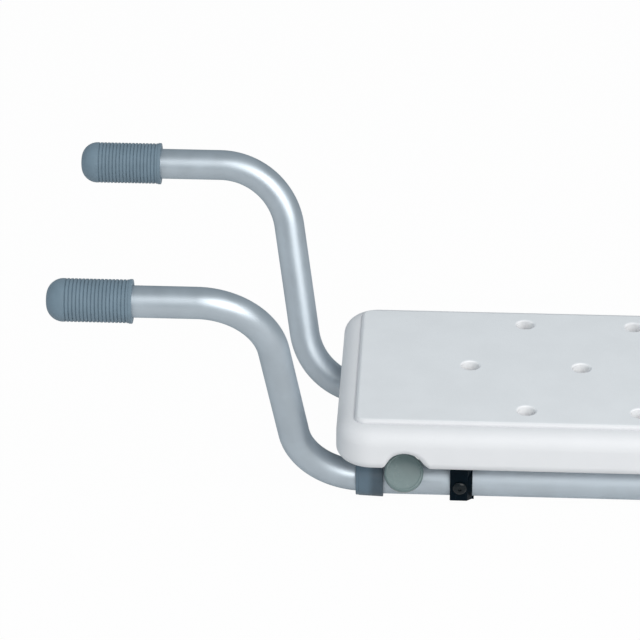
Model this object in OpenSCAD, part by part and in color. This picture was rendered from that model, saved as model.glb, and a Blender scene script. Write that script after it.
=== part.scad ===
// Suspended bath bench. A hollow moulded seat board is clipped on two cross tubes, and at each
// tube end a bent arm slides and swivels in a collar and is held by a clamp knob. The rubber
// grips at the four arm ends rest on the rims of the bath.
// +X runs along the bench, +Y to its back and +Z up. The origin lies under the middle of the
// seat, and z = 0 is the underside of the collars, on which the bench stands when put down.

/* [Seat board] */
// Length of the seat board along the bench
seat_w = 400; // [390:2:420]
// Depth of the seat board from front to back
seat_d = 222; // [212:2:240]
// Height of the board from its underside to its rim
seat_h = 36.4; // [32:0.1:40]
// Rounding of the board's four corners
seat_corner_r = 29.5; // [20:0.5:40]
// Rounding of the board's upper edge
seat_top_r = 14; // [8:0.5:15]
// Rounding of the board's lower edge
seat_low_r = 9; // [4:0.5:10]
// Wall thickness of the hollow board
seat_wall = 3; // [2:0.5:4]
// Gap between the cross tubes and the underside of the board
seat_gap = 12.5; // [11:0.1:20]

/* [Seating panel] */
// Width of the rim that shows round the raised panel
panel_margin = 15; // [14:0.5:30]
// Height of the panel above the rim
panel_rise = 3; // [2.6:0.1:4]
// Rounding of the panel's four corners
panel_corner_r = 9; // [6:0.5:20]
// Rounding of the panel's upper edge
panel_edge_r = 2.4; // [1:0.1:2.4]

/* [Drain holes] */
// Width of a drain hole
drain_d = 15; // [10:0.5:18]
// Width of the sloped edge round the mouth of a drain hole
drain_edge = 1.5; // [0.5:0.1:2]
// Distance between holes along a row
drain_pitch_x = 92; // [80:1:100]
// Distance between the rows of holes
drain_pitch_y = 74; // [60:1:80]
// Holes in the middle row
drain_count = 3; // [1:1:3]

/* [Cross tubes] */
// Length by which the board stands out past the end of a cross tube
tube_overhang = 28; // [20:1:32]
// Wall thickness of a cross tube
tube_wall = 1.52; // [1.2:0.02:2]
// Distance from the board's front or back edge to the axis of the tube
tube_inset = 39; // [35:0.5:41]

/* [Arms] */
// Outer diameter of an arm
arm_od = 25.4; // [24:0.2:26]
// Wall thickness of an arm
arm_wall = 1.5; // [1.2:0.1:2]
// Distance from the end of the cross tube to the start of the lower bend
bend_start = 5; // [4:0.5:12]
// Radius of the lower bend, to the middle of the tube
low_bend_r = 58; // [50:1:64]
// Radius of the upper bend, to the middle of the tube
high_bend_r = 60; // [50:1:64]
// Amount by which the tube's radius is drawn in along its bends
bend_draw = 0.05; // [0.05:0.01:0.2]
// Rise of the arm from the tube axis to the middle of its top run
arm_rise = 192.9; // [170:0.1:210]
// Angle by which the riser leans away from the seat
arm_lean = 8.75; // [4:0.25:15]
// Angle by which the arm is swung outwards from upright
arm_splay = 16.3; // [0:0.1:25]
// Bare length of the top run between the upper bend and the grip
top_run = 50.3; // [40:0.1:70]

/* [Slide plugs] */
// Thickness of the plug's flange
plug_flange = 3; // [2:0.5:5]
// Length of the plug's spigot inside the arm
plug_spigot = 15; // [10:1:20]
// Gap between the plug and the clip bolt that stops it
plug_gap = 3; // [2:0.1:5]
// Bore through the plug
plug_bore_d = 14; // [8:0.5:18]

/* [Grips] */
// Length of a grip
grip_len = 67.9; // [60:0.1:80]
// Diameter of a grip over its ribs
grip_d = 34.3; // [32:0.1:38]
// Rounding of the closed end
grip_dome_r = 13.5; // [8:0.5:16]
// Thickness of the closed end
grip_end = 9; // [6:0.5:12]
// Length of the plain lip at the open end
grip_lip_len = 2.6; // [2:0.1:5]
// Height of the lip above the ribs
grip_lip_rise = 0.4; // [0.2:0.1:1]
// Distance from one groove to the next
groove_pitch = 2.95; // [2.4:0.05:4]
// Width of a groove
groove_w = 1.2; // [0.8:0.1:1.6]
// Depth of a groove
groove_depth = 0.9; // [0.5:0.1:1.5]
// Number of grooves
groove_count = 17; // [8:1:17]

/* [Collars] */
// Length of a collar
collar_len = 22.5; // [18:0.5:30]
// Length of the collar that sits on the cross tube
collar_seat = 10.7; // [8:0.1:14]
// Wall of the collar over the cross tube
collar_wall = 2.5; // [2:0.05:4]
// Amount by which the collar's radius falls towards its mouth
collar_taper = 0.7; // [0:0.1:1]
// Length of the lip at the mouth
collar_lip_len = 2.5; // [1.5:0.1:4]
// Depth of the step behind the lip
collar_lip_step = 0.3; // [0.1:0.1:0.6]
// Clearance round the arm at the flared mouth
collar_mouth_gap = 1.3; // [1:0.1:1.6]
// Length over which the mouth flares
collar_flare_len = 9; // [6:0.5:10]

/* [Clamp knobs] */
// Distance from the knob's axis to the end of the cross tube
knob_inset = 27.6; // [27.6:0.1:34]
// Diameter of the knob
knob_d = 32; // [28:0.5:32]
// Thickness of the knob
knob_t = 7.5; // [6:0.5:10]
// Rounding of the knob's front edge
knob_edge_r = 2; // [1:0.1:2.5]
// Width of the raised ring round the knob's face
knob_ring = 2.6; // [2.6:0.1:4]
// Depth of the knob's face inside the ring
knob_dish = 0.4; // [0.2:0.1:0.8]
// Angle of the knob's axis above level
knob_tilt = 38; // [32:1:40]
// Space between the knob and its threaded boss
knob_gap = 1; // [0.5:0.1:2]
// Radius left round the knob by the scallop in the seat
scallop_gap = 1; // [1:0.1:3]
// Height of the scallop's centre above the middle of the knob's face
scallop_lift = 8.4; // [7:0.1:10]
// Depth of the scallop into the seat
scallop_depth = 33; // [33:1:36]
// Rounding of the scallop's feet, where it meets the underside of the seat
scallop_foot_r = 10; // [8:0.5:12]
// Depth by which the round of a foot dips past the underside
scallop_foot_dip = 0.2; // [0.1:0.1:0.5]

/* [Clamp screws] */
// Diameter of the clamp screw's thread
screw_d = 5.9; // [4.9:0.1:7.9]
// Depth of the screw inside the knob
screw_in_knob = 4.5; // [3:0.5:5]
// Thickness of the pad under the screw's tip
pad_t = 1.4; // [1:0.1:2]
// Diameter of the threaded boss
boss_d = 14; // [12:0.5:16]
// Height of the threaded boss above the cross tube
boss_h = 3.2; // [2:0.1:5]
// Diameter of the boss's spigot through the tube wall
boss_spigot_d = 9.5; // [9:0.5:11]

/* [Seat clips] */
// Distance from the end of the cross tube to the middle of a clip
clip_inset = 75.2; // [73:0.1:82]
// Length of a clip along the cross tube
clip_w = 19.8; // [19:0.1:22]
// Wall of the clip before and behind the cross tube
clip_side = 2; // [1.6:0.1:3]
// Wall of the clip under the cross tube
clip_wall = 1.3; // [1:0.1:2]
// Length of the clip's flat front face
clip_face_w = 14.3; // [13:0.1:15]
// Depth of the slanted side next to the front face
clip_slant = 8.5; // [6:0.1:10]
// Amount by which the lips at the clip's top and bottom stand out past its body
clip_lip = 1.5; // [0.5:0.1:2]
// Wall of the sleeve that the clip's body has round the cross tube
clip_sleeve_t = 0.9; // [0.8:0.1:1.2]
// Thickness of the lip under the seat
clip_lip_t = 1.5; // [1:0.1:3]
// Depth of the sloped corners under the clip
clip_corner_w = 9.3; // [6:0.1:10]
// Height of the sloped corners under the clip
clip_corner_h = 3.4; // [2:0.1:4]
// Length of the clip's foot under the seat
clip_foot_len = 20; // [18:0.5:24]
// Thickness of the clip's foot
clip_foot_t = 4; // [3:0.5:6]

/* [Fasteners] */
// Diameter of the clip bolts
bolt_d = 5; // [4:0.5:6]
// Distance from the middle of a clip to its bolt, away from the middle of the seat
bolt_offset = 1.8; // [0:0.1:3]
// Diameter of the clip bolt's round head
bolt_head_d = 11.5; // [10:0.5:12]
// Height of the clip bolt's head
bolt_head_h = 3; // [2:0.1:4]
// Height of the straight edge under the bolt's round head
bolt_head_edge = 0.6; // [0.3:0.1:1]
// Width of the socket in the bolt's head
bolt_socket_d = 3.4; // [2:0.1:3.6]
// Depth of the socket in the bolt's head
bolt_socket_depth = 1.2; // [0.6:0.1:1.6]
// Width of a nut across its flats
nut_flats = 8; // [7:0.5:10]
// Thickness of a nut
nut_t = 4; // [3:0.5:5]
// Diameter of the screws into the seat
seat_screw_d = 4.8; // [4:0.1:5]
// Diameter of the head of a seat screw
seat_screw_head_d = 9; // [8:0.5:10]
// Height of the head of a seat screw
seat_screw_head_h = 3; // [2:0.5:4]
// Distance from the clip's back face to the seat screw
seat_screw_inset = 10.7; // [8:0.1:12]
// Diameter of a threaded insert in the seat
insert_d = 8; // [7:0.5:10]
// Length of a threaded insert
insert_len = 12; // [8:0.5:14]

/* [Fits] */
// Clearance round an arm where it slides in the cross tube
slide_fit = 0.08; // [0.05:0.01:0.1]
// Clearance between pieces that are fixed together
close_fit = 0.05; // [0.03:0.01:0.1]
// Clearance round a bolt or screw in a plain hole
hole_fit = 0.25; // [0.1:0.05:0.4]

/* [Hidden] */
$fn = 96;
eps = 1;
bend_lap = 1;
foot_lap = 0.1;

arm_r = arm_od / 2;
arm_bore_r = arm_r - arm_wall;
tube_bore_r = arm_r + slide_fit;
tube_r = tube_bore_r + tube_wall;
tube_y = seat_d / 2 - tube_inset;
tube_end = seat_w / 2 - tube_overhang;
tube_len = 2 * tube_end;
collar_back_r = tube_r + collar_wall;
collar_front_r = collar_back_r - collar_taper;
axis_z = collar_back_r;

seat_z = axis_z + tube_r + seat_gap;
rim_z = seat_z + seat_h;
panel_z = rim_z + panel_rise;
panel_w = seat_w - 2 * panel_margin;
panel_d = seat_d - 2 * panel_margin;

arm_sweep = 90 - arm_lean;
low_x = tube_end + bend_start;
low_top_x = low_x + low_bend_r * sin(arm_sweep);
low_top_z = low_bend_r * (1 - cos(arm_sweep));
riser_rise = arm_rise - low_top_z - high_bend_r * (1 - cos(arm_sweep));
riser_len = riser_rise / cos(arm_lean);
high_x = low_top_x + riser_rise * tan(arm_lean) + high_bend_r * sin(arm_sweep);
grip_x = high_x + top_run;
grip_r = grip_d / 2;
grip_bore = grip_len - grip_end;
arm_out = grip_x + grip_bore - close_fit;
clip_x = tube_end - clip_inset;
bolt_x = clip_x + bolt_offset;
bolt_r = bolt_d / 2;
plug_x = bolt_x + bolt_r + plug_gap;
arm_in = plug_x + plug_flange + slide_fit;

collar_x = tube_end - collar_seat;

knob_x = tube_end - knob_inset;
knob_r = knob_d / 2;
boss_top = tube_r + boss_h;
knob_back = boss_top + knob_gap;
knob_face = knob_back + knob_t;
screw_r = screw_d / 2;
thread_r = screw_r + close_fit;
pad_r = screw_r - 2 * close_fit;
pad_low = arm_r + close_fit;
pad_top = pad_low + pad_t;
scallop_r = knob_r + scallop_gap;
scallop_z = axis_z + knob_face * sin(knob_tilt) + scallop_lift;
foot_z = seat_z + scallop_foot_r - scallop_foot_dip;
foot_reach = scallop_r + scallop_foot_r - foot_lap;
foot_x = sqrt(foot_reach ^ 2 - (foot_z - scallop_z) ^ 2);

clip_half = tube_r + clip_side;
clip_low = axis_z - tube_r - clip_wall;
foot_end = clip_half + clip_foot_len;
seat_screw_y = clip_half + seat_screw_inset;
seat_screw_r = seat_screw_d / 2;

drain_spots = concat(
    [for (i = [0:drain_count - 1]) [(i - (drain_count - 1) / 2) * drain_pitch_x, 0]],
    [for (i = [0:drain_count - 2]) for (row = [-1, 1])
        [(i - (drain_count - 2) / 2) * drain_pitch_x, row * drain_pitch_y]]
);

CORNERS = [["left_front", -1, -1], ["left_rear", -1, 1], ["right_front", 1, -1], ["right_rear", 1, 1]];
CORNER_PIECES = [
    "collar", "slide_plug", "arm_tube", "grip", "clamp_pad", "clamp_screw", "clamp_knob", "seat_clip"
];

// Places a piece of the right rear corner at the corner c
module at_corner(c) {
    mirror([c[1] < 0 ? 1 : 0, 0, 0]) mirror([0, c[2] < 0 ? 1 : 0, 0]) children();
}

// Repeats a piece of the right rear corner at all four corners
module at_all_corners() {
    for (c = CORNERS) at_corner(c) children();
}

// Turns a piece so that its +Z runs along the rear cross tube, starting at x
module on_tube(x) {
    translate([x, tube_y, axis_z]) rotate([0, 90, 0]) children();
}

// Turns a piece so that its +Z runs out along the axis of the clamp screw
module on_screw() {
    translate([knob_x, tube_y, axis_z]) rotate([knob_tilt - 90, 0, 0]) children();
}

// Turns a piece so that its +Z runs out along the clip bolt
module on_bolt() {
    translate([bolt_x, tube_y, axis_z]) rotate([-90, 0, 0]) children();
}

// Stands a piece on the axis of the seat screw, at the height z
module on_seat_screw(z) {
    translate([clip_x, tube_y - seat_screw_y, z]) children();
}

// Quarter of a round corner, filling the first quadrant
module quarter(r) {
    intersection() {
        circle(r);
        square(r);
    }
}

// Half of a slab's upright section, w wide from its middle, with its edges rounded
module half_section(w, h, top_r, low_r) {
    translate([0, low_r]) square([w, h - top_r - low_r]);
    square([w - low_r, low_r]);
    translate([w - low_r, low_r]) mirror([0, 1]) quarter(low_r);
    translate([0, h - top_r]) square([w - top_r, top_r]);
    translate([w - top_r, h - top_r]) quarter(top_r);
}

// Slab on z = 0 with round corners and rounded edges
module rounded_slab(w, d, h, corner_r, top_r, low_r) {
    for (turn = [[0, w, d], [90, d, w]]) rotate([0, 0, turn[0]])
        for (side = [0, 1]) mirror([side, 0, 0])
            translate([0, turn[2] / 2 - corner_r, 0]) rotate([90, 0, 0])
                linear_extrude(turn[2] - 2 * corner_r)
                    half_section(turn[1] / 2, h, top_r, low_r);
    for (x = [-1, 1]) for (y = [-1, 1])
        translate([x * (w / 2 - corner_r), y * (d / 2 - corner_r), 0])
            rotate_extrude() half_section(corner_r, h, top_r, low_r);
}

// Outline of the space over a knob, enlarged by grow: an arch whose feet are rounded off.
// The rounds of the feet lap over the arch a little.
module scallop_outline(grow) {
    arch_r = scallop_r + grow;
    touch = arch_r / foot_reach;
    circle(arch_r);
    difference() {
        translate([-foot_x, 0]) square([2 * foot_x, (foot_z - scallop_z) * touch]);
        for (side = [-1, 1])
            translate([side * foot_x, foot_z - scallop_z]) circle(scallop_foot_r - grow);
    }
}

// Space taken out of the seat for the fingers that turn a knob, enlarged by grow
module scallop(grow) {
    translate([knob_x, seat_d / 2 + eps, scallop_z]) rotate([90, 0, 0])
        linear_extrude(scallop_depth + grow + eps) scallop_outline(grow);
}

// Inside of the hollow board: it stays off the drain holes, scallops and threaded inserts
module seat_cavity() {
    difference() {
        translate([0, 0, seat_z + seat_wall]) rounded_slab(
            seat_w - 2 * seat_wall, seat_d - 2 * seat_wall, seat_h - 2 * seat_wall,
            seat_corner_r - seat_wall, seat_top_r - seat_wall, seat_low_r - seat_wall
        );
        for (p = drain_spots) translate([p[0], p[1], seat_z])
            cylinder(d = drain_d + 2 * (seat_wall + drain_edge), h = seat_h);
        at_all_corners() scallop(seat_wall);
        at_all_corners() on_seat_screw(seat_z)
            cylinder(d = insert_d + 2 * seat_wall, h = insert_len + seat_wall);
    }
}

// Drain hole through the board, with a sloped edge at both mouths
module drain_hole() {
    slope = drain_edge + eps;
    translate([0, 0, seat_z - eps]) cylinder(d = drain_d, h = panel_z - seat_z + 2 * eps);
    translate([0, 0, panel_z - drain_edge])
        cylinder(d1 = drain_d, d2 = drain_d + 2 * slope, h = slope);
    translate([0, 0, seat_z - eps]) cylinder(d1 = drain_d + 2 * slope, d2 = drain_d, h = slope);
}

// Moulded seat board with its raised panel
module seat_board() {
    color([0.9, 0.91, 0.92]) difference() {
        union() {
            translate([0, 0, seat_z])
                rounded_slab(seat_w, seat_d, seat_h, seat_corner_r, seat_top_r, seat_low_r);
            translate([0, 0, rim_z - seat_wall]) rounded_slab(
                panel_w, panel_d, seat_wall + panel_rise, panel_corner_r, panel_edge_r, eps
            );
        }
        seat_cavity();
        for (p = drain_spots) translate([p[0], p[1], 0]) drain_hole();
        at_all_corners() scallop(0);
        at_all_corners() on_seat_screw(seat_z - eps)
            cylinder(d = insert_d + 2 * close_fit, h = insert_len + close_fit + eps);
    }
}

// Threaded inserts moulded into the underside of the board, one at each clip
module seat_inserts() {
    color([0.72, 0.6, 0.3]) at_all_corners() on_seat_screw(seat_z) difference() {
        cylinder(d = insert_d, h = insert_len);
        translate([0, 0, -eps]) cylinder(r = seat_screw_r + close_fit, h = insert_len + 2 * eps);
    }
}

// Screws that hold the feet of the clips to the board
module seat_screws() {
    color([0.55, 0.56, 0.58]) at_all_corners() on_seat_screw(seat_z - clip_foot_t) {
        translate([0, 0, -seat_screw_head_h]) cylinder(d = seat_screw_head_d, h = seat_screw_head_h);
        cylinder(r = seat_screw_r, h = clip_foot_t + insert_len - eps);
    }
}

// Cross tube: the screws and bolts pass through its wall, and the arms slide in its bore
module cross_tube() {
    color([0.72, 0.76, 0.8]) difference() {
        on_tube(-tube_end) cylinder(r = tube_r, h = tube_len);
        on_tube(-tube_end - eps) cylinder(r = tube_bore_r, h = tube_len + 2 * eps);
        for (side = [0, 1]) mirror([side, 0, 0]) {
            on_screw() cylinder(d = boss_spigot_d + 2 * close_fit, h = tube_r + eps);
            on_bolt() cylinder(r = bolt_r + hole_fit, h = 2 * clip_half, center = true);
        }
    }
}

// Threaded bosses set in the cross tubes for the clamp screws
module thread_bosses() {
    color([0.6, 0.62, 0.64]) at_all_corners() difference() {
        union() {
            difference() {
                on_screw() cylinder(d = boss_d, h = boss_top);
                on_tube(knob_x - boss_d) cylinder(r = tube_r + close_fit, h = 2 * boss_d);
            }
            on_screw() cylinder(d = boss_spigot_d, h = boss_top);
        }
        on_tube(knob_x - boss_d) cylinder(r = tube_bore_r, h = 2 * boss_d);
        on_screw() cylinder(r = thread_r, h = boss_top + eps);
    }
}

// Upright body of a clip before its bores: slanted on the side next to its front face,
// with its lower corners sloped off
module clip_body() {
    inner_x = clip_x - clip_w / 2;
    outer_x = clip_x + clip_w / 2;
    intersection() {
        translate([0, tube_y, clip_low]) linear_extrude(seat_z - clip_low) polygon([
            [outer_x, -clip_half],
            [outer_x, clip_half],
            [outer_x - clip_face_w, clip_half],
            [inner_x + clip_lip, clip_half - clip_slant],
            [inner_x + clip_lip, -clip_half]
        ]);
        translate([inner_x, tube_y, 0]) rotate([90, 0, 90]) linear_extrude(clip_w) polygon([
            [-clip_half, seat_z],
            [-clip_half, clip_low + clip_corner_h],
            [-clip_half + clip_corner_w, clip_low],
            [clip_half - clip_corner_w, clip_low],
            [clip_half, clip_low + clip_corner_h],
            [clip_half, seat_z]
        ]);
    }
}

// Clip: a block with a thin sleeve that the cross tube passes through, and a foot screwed
// under the board
module seat_clip() {
    inner_x = clip_x - clip_w / 2;
    lip_half = clip_half - clip_corner_w;
    color([0.05, 0.08, 0.1]) difference() {
        union() {
            clip_body();
            on_tube(inner_x + clip_lip)
                cylinder(r = tube_r + close_fit + clip_sleeve_t, h = clip_w - clip_lip);
            translate([inner_x, tube_y - clip_half, seat_z - clip_lip_t])
                cube([clip_w, 2 * clip_half, clip_lip_t]);
            translate([inner_x, tube_y - foot_end, seat_z - clip_foot_t])
                cube([clip_w, clip_foot_len + eps, clip_foot_t]);
            translate([inner_x, tube_y - lip_half, clip_low])
                cube([clip_w, 2 * lip_half, 2 * clip_wall]);
        }
        on_tube(inner_x - eps) cylinder(r = tube_r + close_fit, h = clip_w + 2 * eps);
        on_bolt() cylinder(r = bolt_r + hole_fit, h = 4 * clip_half, center = true);
        on_seat_screw(seat_z - clip_foot_t - eps)
            cylinder(r = seat_screw_r + hole_fit, h = clip_foot_t + 2 * eps);
    }
}

// Bolts with round heads through the clips and the cross tubes
module clip_bolts() {
    edge_r = bolt_head_h - bolt_head_edge;
    color([0.1, 0.12, 0.14]) at_all_corners() on_bolt() difference() {
        union() {
            translate([0, 0, clip_half]) rotate_extrude() {
                square([bolt_head_d / 2 - edge_r, bolt_head_h]);
                square([bolt_head_d / 2, bolt_head_edge]);
                translate([bolt_head_d / 2 - edge_r, bolt_head_edge]) quarter(edge_r);
            }
            translate([0, 0, -clip_half - nut_t - eps])
                cylinder(r = bolt_r, h = 2 * clip_half + nut_t + eps);
        }
        translate([0, 0, clip_half + bolt_head_h - bolt_socket_depth])
            cylinder(d = bolt_socket_d, h = bolt_socket_depth + eps, $fn = 6);
    }
}

// Nuts on the inner ends of the clip bolts
module clip_nuts() {
    color([0.6, 0.62, 0.64]) at_all_corners() on_bolt()
        translate([0, 0, -clip_half - nut_t]) difference() {
            cylinder(d = nut_flats / cos(30), h = nut_t, $fn = 6);
            translate([0, 0, -eps]) cylinder(r = bolt_r + close_fit, h = nut_t + 2 * eps);
        }
}

// Collar on the tube's end: a sleeve on the cross tube and a flared mouth round the arm
module collar() {
    neck_r = arm_r + 2 * slide_fit;
    mouth_r = arm_r + collar_mouth_gap;
    flare_x = collar_len - collar_flare_len;
    flare_rate = (mouth_r - neck_r) / collar_flare_len;
    color([0.4, 0.45, 0.5]) on_tube(collar_x) difference() {
        rotate_extrude() polygon([
            [0, 0],
            [collar_back_r, 0],
            [collar_front_r, collar_len - collar_lip_len],
            [collar_front_r - collar_lip_step, collar_len - collar_lip_len],
            [collar_front_r - collar_lip_step, collar_len],
            [0, collar_len]
        ]);
        translate([0, 0, -eps])
            cylinder(r = tube_r + close_fit, h = collar_seat + close_fit + eps);
        cylinder(r = neck_r, h = collar_len);
        translate([0, 0, flare_x])
            cylinder(r1 = neck_r, r2 = mouth_r + eps * flare_rate, h = collar_flare_len + eps);
    }
}

// Plug in the arm's inner end: its flange slides in the tube, and the arm turns on its spigot
module slide_plug() {
    color([0.25, 0.27, 0.3]) difference() {
        union() {
            on_tube(plug_x) cylinder(r = arm_r, h = plug_flange);
            on_tube(plug_x) cylinder(r = arm_bore_r - slide_fit, h = plug_flange + plug_spigot);
        }
        on_tube(plug_x - eps) cylinder(d = plug_bore_d, h = plug_flange + plug_spigot + 2 * eps);
    }
}

// Solid rod of radius r along the middle line of an upright arm, longer by grow at both ends.
// The straight lengths lap over the bends, where the tube is drawn in a little.
module arm_rod(r, grow) {
    bend_r = r - bend_draw;
    inner_x = arm_in - grow;
    translate([inner_x, 0, 0]) rotate([0, 90, 0]) cylinder(r = r, h = low_x + bend_lap - inner_x);
    translate([low_x, 0, low_bend_r]) rotate([90, 0, 0]) rotate([0, 0, -90])
        rotate_extrude(angle = arm_sweep) translate([low_bend_r, 0]) circle(bend_r);
    translate([low_top_x, 0, low_top_z]) rotate([0, arm_lean, 0])
        translate([0, 0, -bend_lap]) cylinder(r = r, h = riser_len + 2 * bend_lap);
    translate([high_x, 0, arm_rise - high_bend_r]) rotate([90, 0, 0]) rotate([0, 0, 90])
        rotate_extrude(angle = arm_sweep) translate([high_bend_r, 0]) circle(bend_r);
    translate([high_x - bend_lap, 0, arm_rise]) rotate([0, 90, 0])
        cylinder(r = r, h = arm_out + grow - high_x + bend_lap);
}

// Turns a piece drawn on an upright arm outwards about the cross tube
module on_arm() {
    translate([0, tube_y, axis_z]) rotate([-arm_splay, 0, 0]) children();
}

// Bent tube of an arm
module arm_tube() {
    color([0.72, 0.76, 0.8]) on_arm() difference() {
        arm_rod(arm_r, 0);
        arm_rod(arm_bore_r, eps);
    }
}

// Ribbed rubber grip over the arm's outer end
module grip() {
    first_groove = grip_lip_len + groove_pitch - groove_w;
    color([0.43, 0.5, 0.56]) on_arm() translate([grip_x, 0, arm_rise]) rotate([0, 90, 0])
        rotate_extrude() difference() {
            union() {
                square([grip_r, grip_len - grip_dome_r]);
                square([grip_r - grip_dome_r, grip_len]);
                translate([grip_r - grip_dome_r, grip_len - grip_dome_r]) quarter(grip_dome_r);
                square([grip_r + grip_lip_rise, grip_lip_len]);
            }
            translate([0, -eps]) square([arm_r + close_fit, grip_bore + eps]);
            for (i = [0:groove_count - 1])
                translate([grip_r - groove_depth, first_groove + i * groove_pitch])
                    square([groove_depth + eps, groove_w]);
        }
}

// Pad between the screw's tip and the arm, hollowed to fit the arm
module clamp_pad() {
    color([0.85, 0.84, 0.8]) difference() {
        on_screw() translate([0, 0, arm_r - pad_t]) cylinder(r = pad_r, h = pad_top - arm_r + pad_t);
        on_tube(knob_x - knob_r) cylinder(r = pad_low, h = knob_d);
    }
}

// Clamp screw, moulded into the knob
module clamp_screw() {
    screw_low = pad_top + close_fit;
    color([0.6, 0.62, 0.64]) on_screw() translate([0, 0, screw_low])
        cylinder(r = screw_r, h = knob_back + screw_in_knob - screw_low);
}

// Clamp knob with a rounded front edge and a flat face inside a low ring
module clamp_knob() {
    color([0.47, 0.54, 0.54]) on_screw() difference() {
        translate([0, 0, knob_back]) rotate_extrude() {
            square([knob_r, knob_t - knob_edge_r]);
            square([knob_r - knob_edge_r, knob_t]);
            translate([knob_r - knob_edge_r, knob_t - knob_edge_r]) quarter(knob_edge_r);
        }
        cylinder(r = thread_r, h = knob_back + screw_in_knob + close_fit);
        translate([0, 0, knob_face - knob_dish]) cylinder(r = knob_r - knob_ring, h = knob_dish + eps);
    }
}

seat_board();
seat_inserts();
seat_screws();
mirror([0, 1, 0]) cross_tube();  // front_tube
cross_tube();  // rear_tube
thread_bosses();
clip_bolts();
clip_nuts();
for (c = CORNERS) {
    at_corner(c) collar();
    at_corner(c) slide_plug();
    at_corner(c) arm_tube();
    at_corner(c) grip();
    at_corner(c) clamp_pad();
    at_corner(c) clamp_screw();
    at_corner(c) clamp_knob();
    at_corner(c) seat_clip();
}
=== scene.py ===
import math

import bmesh
import bpy
from mathutils import Matrix, Vector


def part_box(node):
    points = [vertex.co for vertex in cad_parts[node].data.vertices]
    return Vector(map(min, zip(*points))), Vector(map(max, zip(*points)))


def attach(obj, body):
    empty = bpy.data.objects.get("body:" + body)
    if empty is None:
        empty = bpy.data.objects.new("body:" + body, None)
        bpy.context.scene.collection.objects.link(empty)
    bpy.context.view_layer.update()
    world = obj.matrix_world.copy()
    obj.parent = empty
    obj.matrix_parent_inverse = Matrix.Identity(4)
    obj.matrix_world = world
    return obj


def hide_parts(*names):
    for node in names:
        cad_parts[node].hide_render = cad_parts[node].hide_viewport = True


# Suspended bath bench: the looks of a moulded seat board on two cross tubes, with four bent
# arms whose rubber grips rest on the rims of a bath. +X runs along the bench, +Y to its back.
# Each piece of a corner is modelled at the right rear one and copied to the other three.

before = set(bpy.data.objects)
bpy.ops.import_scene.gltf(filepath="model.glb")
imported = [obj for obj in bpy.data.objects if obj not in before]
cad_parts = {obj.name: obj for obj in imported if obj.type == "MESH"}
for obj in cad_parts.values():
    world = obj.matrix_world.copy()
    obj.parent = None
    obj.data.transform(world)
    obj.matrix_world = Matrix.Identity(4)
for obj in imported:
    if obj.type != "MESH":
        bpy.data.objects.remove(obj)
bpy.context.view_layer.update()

MM = 0.001
CORNERS = [
    ("left_front", -1, -1), ("left_rear", -1, 1), ("right_front", 1, -1), ("right_rear", 1, 1)
]

# Sizes that the frame gives
seat_low, seat_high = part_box("seat_board")
tube_low, tube_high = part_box("rear_tube")
collar_low, collar_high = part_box("right_rear_collar")
clip_low, clip_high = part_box("right_rear_seat_clip")
AXIS_Z = (tube_low.z + tube_high.z) / 2
TUBE_Y = (tube_low.y + tube_high.y) / 2
TUBE_R = (tube_high.z - tube_low.z) / 2
TUBE_END = tube_high.x

# Seat board
SEAT_CORNER_R = 29.5 * MM
SEAT_TOP_R = 14 * MM
SEAT_LOW_R = 9 * MM
PANEL_RISE = 3 * MM
PANEL_MARGIN = 15 * MM
PANEL_CORNER_R = 9 * MM
PANEL_EDGE_R = 3.2 * MM
GROOVE_W = 0.9 * MM
GROOVE_DEPTH = 0.9 * MM
DRAIN_R = 7.5 * MM
DRAIN_EDGE_R = 1.6 * MM
DRAIN_PITCH_X = 92 * MM
DRAIN_PITCH_Y = 74 * MM
GROOVE_DRAFT = 0.5
PANEL_ROOT = 3 * MM
SEAT_Z = seat_low.z
PANEL_Z = seat_high.z
RIM_Z = PANEL_Z - PANEL_RISE
DRAINS = [(i * DRAIN_PITCH_X, 0) for i in (-1, 0, 1)]
DRAINS += [(i * DRAIN_PITCH_X / 2, j * DRAIN_PITCH_Y) for i in (-1, 1) for j in (-1, 1)]

# Arms
ARM_R = 12.7 * MM
ARM_WALL = 1.5 * MM
SLIDE_FIT = 0.08 * MM
BEND_START = 5 * MM
LOW_BEND_R = 58 * MM
HIGH_BEND_R = 60 * MM
ARM_RISE = 192.9 * MM
ARM_LEAN = math.radians(8.75)
ARM_SPLAY = math.radians(16.3)
TOP_RUN = 50.3 * MM
ARM_SWEEP = math.pi / 2 - ARM_LEAN

# Grips
GRIP_LEN = 67.9 * MM
GRIP_R = 17.15 * MM
GRIP_DOME_R = 13.5 * MM
GRIP_END = 9 * MM
GRIP_LIP_LEN = 2.6 * MM
GRIP_LIP_RISE = 0.4 * MM
GROOVES = 17
RIB_PITCH = 2.95 * MM
RIB_GROOVE_W = 1.2 * MM
RIB_GROOVE_DEPTH = 0.9 * MM
GRIP_EDGE = 0.4 * MM
# Profile of the groove between two ribs: shares of its width and of its depth
GROOVE_PROFILE = ((0, 0.06), (0.1, 0.3), (0.28, 0.85), (0.5, 1), (0.72, 0.85), (0.9, 0.3), (1, 0.06))

# Clamp knobs, and the scallops over them
KNOB_INSET = 27.6 * MM
KNOB_R = 16 * MM
KNOB_T = 7.5 * MM
KNOB_TILT = math.radians(38)
KNOB_RING = 2.6 * MM
KNOB_DISH = 0.4 * MM
KNOB_EDGE_R = 2 * MM
KNOB_BACK_EDGE_R = 0.6 * MM
KNOB_BORE_R = 3 * MM
KNOB_BORE_DEPTH = 4.5 * MM
BOSS_H = 3.2 * MM
KNOB_GAP = 1 * MM
KNOB_X = TUBE_END - KNOB_INSET
KNOB_BACK = TUBE_R + BOSS_H + KNOB_GAP
KNOB_FACE = KNOB_BACK + KNOB_T
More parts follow.
